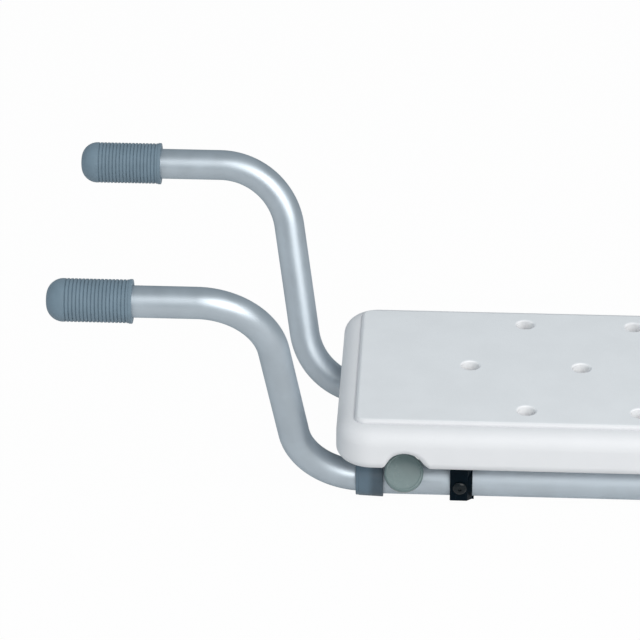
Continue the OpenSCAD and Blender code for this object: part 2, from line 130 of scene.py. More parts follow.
# Their mouths are a little tighter, higher and nearer the middle than the CAD's, as in the photo
SCALLOP_GAP = 0.3 * MM
SCALLOP_SHIFT = 0.7 * MM
SCALLOP_LIFT = 9.1 * MM
SCALLOP_OUTER_FOOT_R = 4.2 * MM
SCALLOP_DEPTH = 33 * MM
SCALLOP_FOOT_R = 10 * MM
SCALLOP_EDGE_R = 6.5 * MM
SCALLOP_FOOT_DIP = 0.2 * MM
SCALLOP_LIP_TURN = math.radians(80)

# Collars
COLLAR_LEN = 22.5 * MM
COLLAR_SEAT = 10.7 * MM
COLLAR_BACK_R = (collar_high.z - collar_low.z) / 2
COLLAR_TAPER = 0.7 * MM
COLLAR_LIP_LEN = 2.5 * MM
COLLAR_LIP_STEP = 0.3 * MM
COLLAR_MOUTH_GAP = 1.3 * MM
COLLAR_FLARE_LEN = 9 * MM
COLLAR_EDGE = 0.5 * MM
COLLAR_FINE_EDGE = 0.3 * MM

# Seat clips
CLIP_SIDE = 2 * MM
CLIP_WALL = 1.3 * MM
CLIP_FACE_W = 14.3 * MM
CLIP_SLANT = 8.5 * MM
CLIP_LIP = 1.5 * MM
CLIP_SLEEVE_T = 0.9 * MM
CLIP_EDGE_R = 0.7 * MM
CLIP_LIP_T = 1.5 * MM
CLIP_CORNER_W = 9.3 * MM
CLIP_CORNER_H = 3.4 * MM
CLIP_FOOT_LEN = 20 * MM
CLIP_FOOT_T = 4 * MM
CLIP_FOOT_CORNER_R = 2.5 * MM
CLIP_FOOT_LAP = 3 * MM
CLIP_X = (clip_low.x + clip_high.x) / 2
CLIP_HALF = TUBE_R + CLIP_SIDE

# Fasteners
BOLT_X = CLIP_X + 1.8 * MM
BOLT_R = 2.5 * MM
BOLT_HEAD_R = 5.75 * MM
BOLT_HEAD_H = 3 * MM
BOLT_HEAD_EDGE = 0.6 * MM
BOLT_SOCKET_R = 1.7 * MM
BOLT_SOCKET_DEPTH = 1.2 * MM
NUT_T = 4 * MM
BOSS_SPIGOT_R = 4.75 * MM
SEAT_SCREW_R = 2.4 * MM
SEAT_SCREW_HEAD_R = 4.5 * MM
SEAT_SCREW_HEAD_H = 3 * MM
SEAT_SCREW_HEAD_EDGE = 1.2 * MM
SEAT_SCREW_Y = TUBE_Y - CLIP_HALF - 10.7 * MM
INSERT_R = 4 * MM
INSERT_LEN = 12 * MM
CLOSE_FIT = 0.05 * MM
HOLE_FIT = 0.25 * MM

# Finishes: widths of the patches, and the noise levels between which they change
PLASTIC_PATCH = 14 * MM
METAL_PATCH = 22 * MM
BOARD_PATCH = 30 * MM
PATCH_LEVELS = (0.3, 0.7)
# Middle zone of the board whose faces below the panel's face get painted light: its half sizes and
# the width of its fade
DRAIN_PAINTED_LIGHT_HALVES = (150 * MM, 80 * MM)
DRAIN_PAINTED_LIGHT_FADE = 2 * MM

# Camera: pitch, yaw and roll in degrees, and its place in mm from the middle of the tubes' height
CAMERA_TURN = (28.01, -2.664, 0.091)
CAMERA_PLACE = (-103.547, -2441.527, 1405.523)
CAMERA_LENS = 188.42

# Studio
FLOOR_GREY = (0.72, 0.72, 0.72)
SKY_COLOR = (0.87, 0.95, 1)
SKY_STRENGTH = 0.45


def deselect_all():
    """Leaves nothing selected, so that an operator acts on the new piece alone."""
    if bpy.context.object and bpy.context.object.mode != "OBJECT":
        bpy.ops.object.mode_set(mode="OBJECT")
    bpy.ops.object.select_all(action="DESELECT")


def make_active(piece):
    """Makes a piece the only selected one."""
    deselect_all()
    piece.select_set(True)
    bpy.context.view_layer.objects.active = piece


def to_edit(piece):
    """Makes a piece active and opens its mesh."""
    make_active(piece)
    bpy.ops.object.mode_set(mode="EDIT")


def to_object():
    bpy.ops.object.mode_set(mode="OBJECT")


def settle(piece, place=None):
    """Puts a piece's place into its mesh, moves it if asked, and points its faces outwards."""
    make_active(piece)
    bpy.context.view_layer.update()
    piece.data.transform(piece.matrix_world)
    piece.matrix_world = Matrix.Identity(4)
    if place is not None:
        piece.data.transform(place)
    to_edit(piece)
    bpy.ops.mesh.select_all(action="SELECT")
    bpy.ops.mesh.remove_doubles(threshold=0.0005 * MM)
    bpy.ops.mesh.normals_make_consistent(inside=False)
    to_object()
    return piece


def choose(piece, kind, wanted):
    """In edit mode, selects only the vertices, edges or faces that wanted() accepts."""
    bpy.context.tool_settings.mesh_select_mode = (kind == "verts", kind == "edges", kind == "faces")
    mesh = bmesh.from_edit_mesh(piece.data)
    for part in (mesh.faces, mesh.edges, mesh.verts):
        for item in part:
            item.select = False
    for item in getattr(mesh, kind):
        if wanted(item):
            item.select_set(True)
    mesh.select_flush_mode()
    bmesh.update_edit_mesh(piece.data)


def apply_modifier(piece, kind, **settings):
    """Adds a modifier with these settings and applies it at once."""
    make_active(piece)
    modifier = piece.modifiers.new(kind.lower(), kind)
    for name, value in settings.items():
        setattr(modifier, name, value)
    bpy.ops.object.modifier_apply(modifier=modifier.name)


def combine(piece, other, operation):
    """Cuts other out of piece, or joins it on, and clears other away."""
    apply_modifier(piece, "BOOLEAN", object=other, operation=operation, solver="EXACT")
    bpy.data.objects.remove(other)


def smooth(piece, angle=30):
    """Smooth shading over gentle edges, with flat faces kept flat."""
    make_active(piece)
    bpy.ops.object.shade_smooth_by_angle(angle=math.radians(angle))
    apply_modifier(piece, "WEIGHTED_NORMAL", mode="FACE_AREA", weight=50, keep_sharp=True)


def turned(name, rings, sides=96, closed=False):
    """Piece turned about +Z from rings, each a height and a radius. A closed one is a hollow ring."""
    deselect_all()
    start, first_r = rings[0]
    bpy.ops.mesh.primitive_circle_add(vertices=sides, radius=first_r, location=(0, 0, start))
    piece = bpy.context.object
    piece.name = name
    piece.data.name = name
    bpy.ops.object.transform_apply(location=True)
    to_edit(piece)
    bpy.ops.mesh.select_all(action="SELECT")
    if not closed:
        bpy.ops.mesh.edge_face_add()
        choose(piece, "edges", lambda e: True)
    steps = rings + rings[:1] if closed else rings
    for (low, low_r), (high, high_r) in zip(steps, steps[1:]):
        bpy.ops.mesh.extrude_edges_move(TRANSFORM_OT_translate={"value": (0, 0, high - low)})
        scale = high_r / low_r
        bpy.ops.transform.resize(value=(scale, scale, 1), center_override=(0, 0, high))
    if not closed:
        bpy.ops.mesh.edge_face_add()
    return settle(piece)


def arc(middle_z, middle_r, radius, start, end, steps):
    """Rings along a round stretch of a turned piece, angles in degrees from straight outwards."""
    rings = []
    for i in range(steps + 1):
        angle = math.radians(start + (end - start) * i / steps)
        rings.append((middle_z + radius * math.sin(angle), middle_r + radius * math.cos(angle)))
    return rings


def mirrored_copy(master, side, depth):
    """Copy with its own mesh: to the left where side is -1, to the front where depth is -1."""
    copy = master.copy()
    copy.data = master.data.copy()
    bpy.context.scene.collection.objects.link(copy)
    copy.data.transform(Matrix.Diagonal((side, depth, 1, 1)))
    if side * depth < 0:
        copy.data.flip_normals()
    return copy


def at_corners(master, piece_name, body, material, node):
    """Copies a right rear piece to all four corners, each riding on its body in a node's place."""
    for corner, side, depth in CORNERS:
        copy = mirrored_copy(master, side, depth)
        copy.name = f"{corner}_{piece_name}_finish"
        copy.data.name = copy.name
        copy.data.materials.clear()
        copy.data.materials.append(material)
        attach(copy, body.format(corner=corner))
        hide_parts(node.format(corner=corner))
    bpy.data.objects.remove(master)


def soft_step(share):
    """Eases a share from 0 to 1 in and out, and keeps it there."""
    share = min(share, 1)
    return share * share * (3 - 2 * share)


# Places of the right rear corner's pieces, each from its own axis along +Z
ALONG_X = Matrix.Rotation(math.pi / 2, 4, "Y")
ON_TUBE = Matrix.Translation((0, TUBE_Y, AXIS_Z)) @ ALONG_X
ON_COLLAR = Matrix.Translation((TUBE_END - COLLAR_SEAT, TUBE_Y, AXIS_Z)) @ ALONG_X
SCREW_TURN = Matrix.Rotation(KNOB_TILT - math.pi / 2, 4, "X")
ON_SCREW = Matrix.Translation((KNOB_X, TUBE_Y, AXIS_Z)) @ SCREW_TURN
ON_BOLT = Matrix.Translation((BOLT_X, TUBE_Y, AXIS_Z)) @ Matrix.Rotation(-math.pi / 2, 4, "X")
ON_SEAT_SCREW = Matrix.Translation((CLIP_X, SEAT_SCREW_Y, SEAT_Z))
ON_ARM = Matrix.Translation((0, TUBE_Y, AXIS_Z)) @ Matrix.Rotation(-ARM_SPLAY, 4, "X")


def rounded_block(name, low, high, corner_r, top_r, low_r, steps):
    """Block with round upright edges and rounded rims."""
    deselect_all()
    size = high - low
    bpy.ops.mesh.primitive_cube_add(size=1, location=(low + high) / 2, scale=size)
    piece = bpy.context.object
    piece.name = name
    bpy.ops.object.transform_apply(location=True, scale=True)
    to_edit(piece)
    choose(piece, "edges", lambda e: abs(e.verts[0].co.z - e.verts[1].co.z) > size.z / 2)
    bpy.ops.mesh.bevel(
        offset=corner_r, segments=2 * steps, profile=0.5, affect="EDGES", clamp_overlap=False
    )
    for level, radius in ((high.z, top_r), (low.z, low_r)):
        if radius:
            choose(piece, "edges", lambda e: all(abs(v.co.z - level) < 0.01 * MM for v in e.verts))
            bpy.ops.mesh.bevel(
                offset=radius, segments=steps, profile=0.5, affect="EDGES", clamp_overlap=False
            )
    return settle(piece)


def cylinder(name, radius, length, place, sides=64):
    """Plain cylinder from 0 to length along the place's +Z, to cut with or to join on."""
    deselect_all()
    bpy.ops.mesh.primitive_cylinder_add(
        vertices=sides, radius=radius, depth=length, location=(0, 0, length / 2)
    )
    piece = bpy.context.object
    piece.name = name
    return settle(piece, place)


def skirt_depth(z):
    """How far the round of the board's lower edge sets its outer face back at a height."""
    drop = min(max(SEAT_Z + SEAT_LOW_R - z, 0), SEAT_LOW_R)
    return SEAT_LOW_R - math.sqrt(SEAT_LOW_R**2 - drop**2)


def scallop_foot(arch_r, arch_z, foot_r):
    """Round foot of a scallop's mouth, the angle at which the arch starts, and the lip there.

    Each point of the foot has a place, the way into the board, and the size of its lip.
    """
    foot_z = SEAT_Z + foot_r - SCALLOP_FOOT_DIP
    reach = arch_r + foot_r
    foot_x = math.sqrt(reach**2 - (foot_z - arch_z) ** 2)
    touch = math.asin((foot_z - arch_z) / reach)
    steps, grown_at, widest_lip = 14, 0.8, 0.8
    foot_lip = min(SCALLOP_EDGE_R, widest_lip * foot_r)
    foot = []
    for i in range(steps):
        share = i / steps
        angle = 1.5 * math.pi + (touch - math.pi / 2) * share
        inward = Vector((-math.cos(angle), -math.sin(angle)))
        place = Vector((foot_x, foot_z)) - inward * foot_r
        foot.append((place, inward, foot_lip * soft_step(share / grown_at)))
    return foot, touch, foot_lip


def scallop_outline():
    """Mouth of a scallop, from its tight outer foot over the knob to its wide inner foot."""
    arch_r = KNOB_R + SCALLOP_GAP
    arch_z = AXIS_Z + KNOB_FACE * math.sin(KNOB_TILT) + SCALLOP_LIFT
    outer_foot, outer_touch, outer_lip = scallop_foot(arch_r, arch_z, SCALLOP_OUTER_FOOT_R)
    inner_foot, inner_touch, _ = scallop_foot(arch_r, arch_z, SCALLOP_FOOT_R)
    steps, grown_at = 40, 0.35
    arch = []
    for i in range(steps + 1):
        angle = outer_touch + (math.pi - outer_touch - inner_touch) * i / steps
        inward = Vector((math.cos(angle), math.sin(angle)))
        lip = outer_lip + (SCALLOP_EDGE_R - outer_lip) * soft_step(i / (grown_at * steps))
        arch.append((Vector((0, arch_z)) + inward * arch_r, inward, lip))
    mirrored = [
        (Vector((-place.x, place.y)), Vector((-inward.x, inward.y)), lip)
        for place, inward, lip in reversed(inner_foot)
    ]
    return outer_foot + arch + mirrored


def scallop_cutter():
    """Cutter for a scallop: an arch with rounded feet, wider at its mouth, to leave a round lip.

    Its rings follow the curved face of the skirt, which no bevel does on so thin a corner. Each
    has a turn along the lip, a straight stretch beyond the lip's end, and sometimes a fixed depth.
    """
    outline = scallop_outline()
    below = SEAT_Z - 8 * MM
    past_lip, past_board = 2 * MM, 6 * MM
    steps, last = 8, SCALLOP_LIP_TURN
    levels = [(0, 0, seat_high.y - SCALLOP_DEPTH)]
    levels += [(last * i / steps, 0, None) for i in range(steps + 1)]
    levels += [(last, past_lip, None), (last, past_lip, seat_high.y + past_board)]
    mesh = bmesh.new()
    rings = []
    for angle, beyond, fixed_y in levels:
        ring = []
        for place, inward, lip in outline:
            grow = lip * (1 - math.cos(angle)) + beyond * math.sin(angle) * lip / SCALLOP_EDGE_R
            x, z = place + inward * grow
            y = fixed_y
            if y is None:
                y = seat_high.y - skirt_depth(z) - lip * (1 - math.sin(angle))
                y += beyond * math.cos(angle)
            ring.append(mesh.verts.new((KNOB_X - SCALLOP_SHIFT + x, y, z)))
        for end in (ring[-1], ring[0]):
            ring.append(mesh.verts.new((end.co.x, end.co.y, below)))
        rings.append(ring)
    for back, front in zip(rings, rings[1:]):
        for i in range(len(back)):
            j = (i + 1) % len(back)
            mesh.faces.new((back[i], back[j], front[j], front[i]))
    mesh.faces.new(rings[0])
    mesh.faces.new(rings[-1])
    data = bpy.data.meshes.new("scallop")
    mesh.to_mesh(data)
    mesh.free()
    cutter = bpy.data.objects.new("scallop", data)
    bpy.context.scene.collection.objects.link(cutter)
    deselect_all()
    return settle(cutter)


def drain_cutter():
    """Cutter for a drain hole, wider at both ends, to leave a round rim on each face."""
    middle_r = DRAIN_R + DRAIN_EDGE_R
    low_rim = arc(SEAT_Z + DRAIN_EDGE_R, middle_r, DRAIN_EDGE_R, 260, 180, 6)
    high_rim = arc(PANEL_Z - DRAIN_EDGE_R, middle_r, DRAIN_EDGE_R, 180, 100, 6)
    past_rim, past_board, wide_r = 0.35 * MM, 5 * MM, middle_r + 1.7 * MM
    low_z, high_z = low_rim[0][0], high_rim[-1][0]
    rings = [(low_z - past_board, wide_r), (low_z - past_rim, wide_r)] + low_rim
    rings += high_rim + [(high_z + past_rim, wide_r), (high_z + past_board, wide_r)]
    return turned("drain", rings, sides=64)


def seat_board():
    """Moulded board: skirt with a scallop over each knob, raised panel in a groove, and drains."""
    rim_high = Vector((seat_high.x, seat_high.y, RIM_Z))
    board = rounded_block("seat", seat_low, rim_high, SEAT_CORNER_R, SEAT_TOP_R, SEAT_LOW_R, 10)
    cutter = scallop_cutter()
    for _, side, depth in CORNERS:
        combine(board, mirrored_copy(cutter, side, depth), "DIFFERENCE")
    bpy.data.objects.remove(cutter)
    panel_low = Vector((seat_low.x + PANEL_MARGIN, seat_low.y + PANEL_MARGIN, RIM_Z - GROOVE_DEPTH))
    panel_high = Vector((-panel_low.x, -panel_low.y, PANEL_Z))
    grow = Vector((GROOVE_W, GROOVE_W, 0))
    edge = panel_high + grow
    recess = rounded_block("recess", panel_low - grow, edge, PANEL_CORNER_R + GROOVE_W, 0, 0, 10)
    to_edit(recess)
    choose(recess, "faces", lambda f: f.normal.z > 0.9)
    slant = GROOVE_DRAFT * (PANEL_Z - RIM_Z + GROOVE_DEPTH)
    bpy.ops.transform.resize(
        value=(1 + slant / edge.x, 1 + slant / edge.y, 1), center_override=(0, 0, PANEL_Z)
    )
    to_object()
    combine(board, recess, "DIFFERENCE")
    root = panel_low - Vector((0, 0, PANEL_ROOT))
    panel = rounded_block("panel", root, panel_high, PANEL_CORNER_R, PANEL_EDGE_R, 0, 8)
    combine(board, panel, "UNION")
    for x, y in DRAINS:
        cutter = drain_cutter()
        cutter.data.transform(Matrix.Translation((x, y, 0)))
        combine(board, cutter, "DIFFERENCE")
    start = 1 * MM
    for _, side, depth in CORNERS:
        place = Matrix.Translation((side * CLIP_X, depth * SEAT_SCREW_Y, SEAT_Z - start))
        bore = cylinder("insert", INSERT_R + CLOSE_FIT, INSERT_LEN + CLOSE_FIT + start, place)
        combine(board, bore, "DIFFERENCE")
    return board


def arm_path_ends():
    """Where an upright arm's bends start and end: the low x, the riser's height and the high x."""
    low_x = TUBE_END + BEND_START
    both_bends = LOW_BEND_R + HIGH_BEND_R
    rise = ARM_RISE - both_bends * (1 - math.cos(ARM_SWEEP))
    high_x = low_x + both_bends * math.sin(ARM_SWEEP) + rise * math.tan(ARM_LEAN)
    return low_x, rise, high_x


def arm_tube():
    """Bent tube of an arm: straight, bend, riser, bend and top run, swept from one ring."""
    low_x, rise, high_x = arm_path_ends()
    inner_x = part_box("right_rear_arm_tube")[0].x
    outer_x = high_x + TOP_RUN + GRIP_LEN - GRIP_END
    deselect_all()
    bpy.ops.mesh.primitive_circle_add(
        vertices=64, radius=ARM_R, location=(inner_x, 0, 0), rotation=(0, math.pi / 2, 0)
    )
    arm = bpy.context.object
    arm.name = "arm"
    bpy.ops.object.transform_apply(location=True, rotation=True)
    to_edit(arm)
    bpy.ops.mesh.select_all(action="SELECT")
    bpy.ops.mesh.extrude_edges_move(TRANSFORM_OT_translate={"value": (low_x - inner_x, 0, 0)})
    bend = {"steps": 30, "angle": ARM_SWEEP, "use_auto_merge": False}
    bpy.ops.mesh.spin(center=(low_x, 0, LOW_BEND_R), axis=(0, 1, 0), **bend)
    along = Vector((math.sin(ARM_LEAN), 0, math.cos(ARM_LEAN))) * (rise / math.cos(ARM_LEAN))
    bpy.ops.mesh.extrude_edges_move(TRANSFORM_OT_translate={"value": along})
    bpy.ops.mesh.spin(center=(high_x, 0, ARM_RISE - HIGH_BEND_R), axis=(0, -1, 0), **bend)
    bpy.ops.mesh.extrude_edges_move(TRANSFORM_OT_translate={"value": (outer_x - high_x, 0, 0)})
    settle(arm)
    apply_modifier(arm, "SOLIDIFY", thickness=ARM_WALL, offset=-1)
    settle(arm, ON_ARM)
    smooth(arm)
    return arm


def grip():
    """Ribbed rubber grip: a plain lip, rounded ribs and a domed end."""
    high_x = arm_path_ends()[2]
    bore_r = ARM_R + CLOSE_FIT
    lip_r = GRIP_R + GRIP_LIP_RISE
    edge = GRIP_EDGE
    rings = [(GRIP_LEN - GRIP_END, bore_r), (edge, bore_r)]
    rings += arc(edge, bore_r + edge, edge, 180, 270, 3)[1:]
    rings += arc(edge, lip_r - edge, edge, 270, 360, 4)
    rings += arc(GRIP_LIP_LEN - edge, lip_r - edge, edge, 0, 90, 3)
    first_groove = GRIP_LIP_LEN + RIB_PITCH - RIB_GROOVE_W
    for i in range(GROOVES):
        start = first_groove + i * RIB_PITCH
        crown = start - (RIB_PITCH - RIB_GROOVE_W) / 2
        rings.append((crown, GRIP_R))
        for share, depth in GROOVE_PROFILE:
            rings.append((start + share * RIB_GROOVE_W, GRIP_R - depth * RIB_GROOVE_DEPTH))
    rings += arc(GRIP_LEN - GRIP_DOME_R, GRIP_R - GRIP_DOME_R, GRIP_DOME_R, 0, 90, 16)
    piece = turned("grip", rings)
    settle(piece, ON_ARM @ Matrix.Translation((high_x + TOP_RUN, 0, ARM_RISE)) @ ALONG_X)
    smooth(piece, 40)
    return piece


def clamp_knob():
    """Knob with a rounded rim, a low ring round its face and a hollow for the screw."""
    back, face = KNOB_BACK, KNOB_FACE
    edge, back_edge = KNOB_EDGE_R, KNOB_BACK_EDGE_R
    inner_r = KNOB_R - KNOB_RING
    rings = [(back + KNOB_BORE_DEPTH, KNOB_BORE_R), (back, KNOB_BORE_R), (back, KNOB_R - back_edge)]
    rings += arc(back + back_edge, KNOB_R - back_edge, back_edge, -60, 0, 3)
    rings += arc(face - edge, KNOB_R - edge, edge, 0, 90, 8)
    rings += [(face - 0.1 * MM, inner_r + 0.2 * MM), (face - KNOB_DISH, inner_r)]
    rings += [(face - KNOB_DISH, inner_r - 0.3 * MM)]
    knob = turned("knob", rings)
    settle(knob, ON_SCREW)
    smooth(knob, 40)
    return knob


def collar():
    """Collar: a tapered sleeve on the cross tube's end, with a lip and a flared mouth."""
    neck_r = ARM_R + 2 * SLIDE_FIT
    mouth_r = ARM_R + COLLAR_MOUTH_GAP
    front_r = COLLAR_BACK_R - COLLAR_TAPER
    lip_z = COLLAR_LEN - COLLAR_LIP_LEN
    lip_r = front_r - COLLAR_LIP_STEP
    seat = COLLAR_SEAT + CLOSE_FIT
    edge, fine = COLLAR_EDGE, COLLAR_FINE_EDGE
    rings = [(seat, neck_r), (seat, TUBE_R + CLOSE_FIT), (0, TUBE_R + CLOSE_FIT)]
    rings += arc(edge, COLLAR_BACK_R - edge, edge, -90, 0, 4)
    rings += arc(lip_z - fine, front_r - fine, fine, 0, 90, 3)
    rings += [(lip_z, lip_r + 0.05 * MM), (lip_z + 0.1 * MM, lip_r)]
    rings += arc(COLLAR_LEN - edge, lip_r - edge, edge, 0, 90, 4)
    rings += arc(COLLAR_LEN - fine, mouth_r + fine, fine, 90, 180, 3)
    rings += [(COLLAR_LEN - COLLAR_FLARE_LEN, neck_r)]
    piece = turned("collar", rings, closed=True)
    settle(piece, ON_COLLAR)
    smooth(piece, 35)
    return piece


def cross_tube():
    """Rear cross tube, with softened ends and bores for the clip bolts and the threaded bosses."""
    bore_r = ARM_R + SLIDE_FIT
    edge = 0.25 * MM
    rings = [(-TUBE_END, bore_r + edge)]
    rings += arc(edge - TUBE_END, TUBE_R - edge, edge, -90, 0, 3)
    rings += arc(TUBE_END - edge, TUBE_R - edge, edge, 0, 90, 3)
    rings += [(TUBE_END, bore_r + edge), (TUBE_END - edge, bore_r), (edge - TUBE_END, bore_r)]
    tube = turned("tube", rings, sides=128, closed=True)
    settle(tube, ON_TUBE)
    across = ON_BOLT @ Matrix.Translation((0, 0, -2 * TUBE_R))
    for side in (-1, 1):
        mirrored = Matrix.Diagonal((side, 1, 1, 1))
        bore = cylinder("boss_bore", BOSS_SPIGOT_R + CLOSE_FIT, 2 * TUBE_R, mirrored @ ON_SCREW)
        combine(tube, bore, "DIFFERENCE")
        bore = cylinder("bolt_bore", BOLT_R + HOLE_FIT, 4 * TUBE_R, mirrored @ across)
        combine(tube, bore, "DIFFERENCE")
    smooth(tube)
    return tube


def block(name, low, high):
    """Plain block between two corners, as a start for a cut or a joined piece."""
    deselect_all()
    low, high = Vector(low), Vector(high)
    bpy.ops.mesh.primitive_cube_add(size=1, location=(low + high) / 2, scale=high - low)
    piece = bpy.context.object
    piece.name = name
    return settle(piece)


def seat_clip():
    """Clip: a block round the cross tube with slanted corners, lips and a foot under the board."""
    inner_x, outer_x = clip_low.x, clip_high.x
    bottom = AXIS_Z - TUBE_R - CLIP_WALL
    front = TUBE_Y + CLIP_HALF
    back = TUBE_Y - CLIP_HALF
    body_x = inner_x + CLIP_LIP
    clip = block("clip", (body_x, back, bottom), (outer_x, front, SEAT_Z))
    to_edit(clip)
    slant_x = outer_x - CLIP_FACE_W
    cuts = [((slant_x, front, 0), (-CLIP_SLANT, slant_x - body_x, 0))]
    cuts += [((0, front, bottom + CLIP_CORNER_H), (0, CLIP_CORNER_H, -CLIP_CORNER_W))]
    cuts += [((0, back, bottom + CLIP_CORNER_H), (0, -CLIP_CORNER_H, -CLIP_CORNER_W))]
    for place, normal in cuts:
        bpy.ops.mesh.select_all(action="SELECT")
        bpy.ops.mesh.bisect(
            plane_co=place, plane_no=Vector(normal).normalized(), use_fill=True, clear_outer=True
        )
    settle(clip)
    to_edit(clip)
    choose(clip, "edges", lambda e: min(v.co.z for v in e.verts) < SEAT_Z - 0.01 * MM)
    bpy.ops.mesh.bevel(
        offset=CLIP_EDGE_R, segments=3, profile=0.5, affect="EDGES", clamp_overlap=True
    )
    settle(clip)
    lip_half = CLIP_HALF - CLIP_CORNER_W
    lip_low = (inner_x, TUBE_Y - lip_half, bottom)
    lip_high = (outer_x, TUBE_Y + lip_half, bottom + 2 * CLIP_WALL)
    foot_low = Vector((inner_x, back - CLIP_FOOT_LEN, SEAT_Z - CLIP_FOOT_T))
    foot_high = Vector((outer_x, back + CLIP_FOOT_LAP, SEAT_Z))
    along = Matrix.Translation((body_x, TUBE_Y, AXIS_Z)) @ ALONG_X
    joined = [
        block("top_lip", (inner_x, back, SEAT_Z - CLIP_LIP_T), (outer_x, front, SEAT_Z)),
        rounded_block("foot", foot_low, foot_high, CLIP_FOOT_CORNER_R, 0, CLIP_EDGE_R, 3),
        block("low_lip", lip_low, lip_high),
        cylinder("sleeve", TUBE_R + CLOSE_FIT + CLIP_SLEEVE_T, outer_x - body_x, along, 96),
    ]
    for piece in joined:
        combine(clip, piece, "UNION")
    past_clip = 10 * MM
    through = along @ Matrix.Translation((0, 0, -past_clip))
    bore = cylinder("bore", TUBE_R + CLOSE_FIT, outer_x - inner_x + 2 * past_clip, through, 96)
    combine(clip, bore, "DIFFERENCE")
    across = ON_BOLT @ Matrix.Translation((0, 0, -3 * TUBE_R))
    combine(clip, cylinder("bolt_bore", BOLT_R + HOLE_FIT, 6 * TUBE_R, across), "DIFFERENCE")
    down = ON_SEAT_SCREW @ Matrix.Translation((0, 0, -2 * CLIP_FOOT_T))
    bore = cylinder("screw_bore", SEAT_SCREW_R + HOLE_FIT, 3 * CLIP_FOOT_T, down)
    combine(clip, bore, "DIFFERENCE")
    settle(clip)
    smooth(clip, 35)
    return clip


def clip_bolt():
    """Bolt through a clip and its tube: a round head with a six-sided socket, and a plain shank."""
    head = CLIP_HALF
    nut_end = -CLIP_HALF - NUT_T
    point, edge = 0.5 * MM, 0.15 * MM
    dome = BOLT_HEAD_H - BOLT_HEAD_EDGE
    rings = [(nut_end - 2 * point, BOLT_R - point), (nut_end - point, BOLT_R), (head, BOLT_R)]
    rings += [(head, BOLT_HEAD_R - edge), (head + edge, BOLT_HEAD_R)]
    for degrees in range(0, 90, 6):
        angle = math.radians(degrees)
        height = head + BOLT_HEAD_EDGE + dome * math.sin(angle)
        rings.append((height, BOLT_HEAD_R * math.cos(angle)))
    bolt = turned("bolt", rings, sides=64)
    deselect_all()
    depth = 2 * BOLT_SOCKET_DEPTH
    bpy.ops.mesh.primitive_cylinder_add(
        vertices=6, radius=BOLT_SOCKET_R, depth=depth, location=(0, 0, head + BOLT_HEAD_H)
    )
    combine(bolt, settle(bpy.context.object), "DIFFERENCE")
    settle(bolt, ON_BOLT)
    smooth(bolt, 40)
    return bolt


def seat_screw():
    """Screw from below into the board: a low head with a cross recess, and a plain shank."""
    under = -CLIP_FOOT_T
    top = under - SEAT_SCREW_HEAD_H
    edge, fine, point = SEAT_SCREW_HEAD_EDGE, 0.2 * MM, 0.6 * MM
    tip = INSERT_LEN - 1 * MM
    rings = arc(top + edge, SEAT_SCREW_HEAD_R - edge, edge, 270, 360, 6)
    rings += [(under - fine, SEAT_SCREW_HEAD_R), (under, SEAT_SCREW_HEAD_R - fine)]
    rings += [(under, SEAT_SCREW_R), (tip - point, SEAT_SCREW_R), (tip, SEAT_SCREW_R - point)]
    screw = turned("screw", rings, sides=48)
    half, arm = 0.5 * MM, 2.4 * MM
    for reach_x, reach_y in ((arm, half), (half, arm)):
        slot = block("slot", (-reach_x, -reach_y, top - 1 * MM), (reach_x, reach_y, top + 1.3 * MM))
        combine(screw, slot, "DIFFERENCE")
    settle(screw, ON_SEAT_SCREW)
    smooth(screw, 40)
    return screw


def finish_material(name, color, roughness, metallic=0.0, **shader_values):
    """Material with a plain shader, to which a surface pattern is added."""
    material = bpy.data.materials.new(name)
    material.use_nodes = True
    shader = material.node_tree.nodes["Principled BSDF"]
    shader.inputs["Base Color"].default_value = (*color, 1)
    shader.inputs["Roughness"].default_value = roughness
    shader.inputs["Metallic"].default_value = metallic
    for key, value in shader_values.items():
        shader.inputs[key.replace("_", " ")].default_value = value
    return material


def add_node(owner, kind, **settings):
    """New node in a material's or the world's tree."""
    node = owner.node_tree.nodes.new(kind)
    for name, value in settings.items():
        setattr(node, name, value)
    return node


def work_out(owner, operation, *values):
    """Result of a calculation. Each value is a number or the output of another node."""
    node = add_node(owner, "ShaderNodeMath", operation=operation)
    for socket, value in zip(node.inputs, values):
        if isinstance(value, (int, float)):
            socket.default_value = value
        else:
            owner.node_tree.links.new(value, socket)
    return node.outputs[0]


def object_place(material):
    """The object's own coordinates, so that a pattern keeps its size and rides with the piece."""
    return add_node(material, "ShaderNodeTexCoord").outputs["Object"]


def object_axes(material):
    """The object's own coordinates, one output per axis."""
    axes = add_node(material, "ShaderNodeSeparateXYZ")
    material.node_tree.links.new(object_place(material), axes.inputs[0])
    return axes.outputs


def noise(material, size, detail=2):
    """Noise on the object's own coordinates. size is the width of its patches in metres."""
    texture = add_node(material, "ShaderNodeTexNoise")
    texture.inputs["Scale"].default_value = 1 / size
    texture.inputs["Detail"].default_value = detail
    material.node_tree.links.new(object_place(material), texture.inputs["Vector"])
    return texture.outputs["Fac"]


def ramp(material, value, low, high, out_low, out_high):
    """Maps a value from one range to another, with soft ends."""
    node = add_node(material, "ShaderNodeMapRange", interpolation_type="SMOOTHSTEP")
    limits = {"From Min": low, "From Max": high, "To Min": out_low, "To Max": out_high}
    for name, number in limits.items():
        node.inputs[name].default_value = number
    material.node_tree.links.new(value, node.inputs["Value"])
    return node.outputs["Result"]


def mix_colors(material, share, first, second):
    """Blend of two colours. Each is a colour or the output of another node."""
    node = add_node(material, "ShaderNodeMix", data_type="RGBA")
    material.node_tree.links.new(share, node.inputs[0])
    for socket, color in ((node.inputs[6], first), (node.inputs[7], second)):
        if isinstance(color, tuple):
            socket.default_value = (*color, 1)
        else:
            material.node_tree.links.new(color, socket)
    return node.outputs[2]


def shade(color, share):
    """A colour made darker or lighter by a share."""
    return tuple(channel * share for channel in color)


def patchy_color(material, patches, color, darkest, lightest):
    """Colour that gets a little darker and lighter from patch to patch."""
    share = ramp(material, patches, *PATCH_LEVELS, 0, 1)
    return mix_colors(material, share, shade(color, darkest), shade(color, lightest))


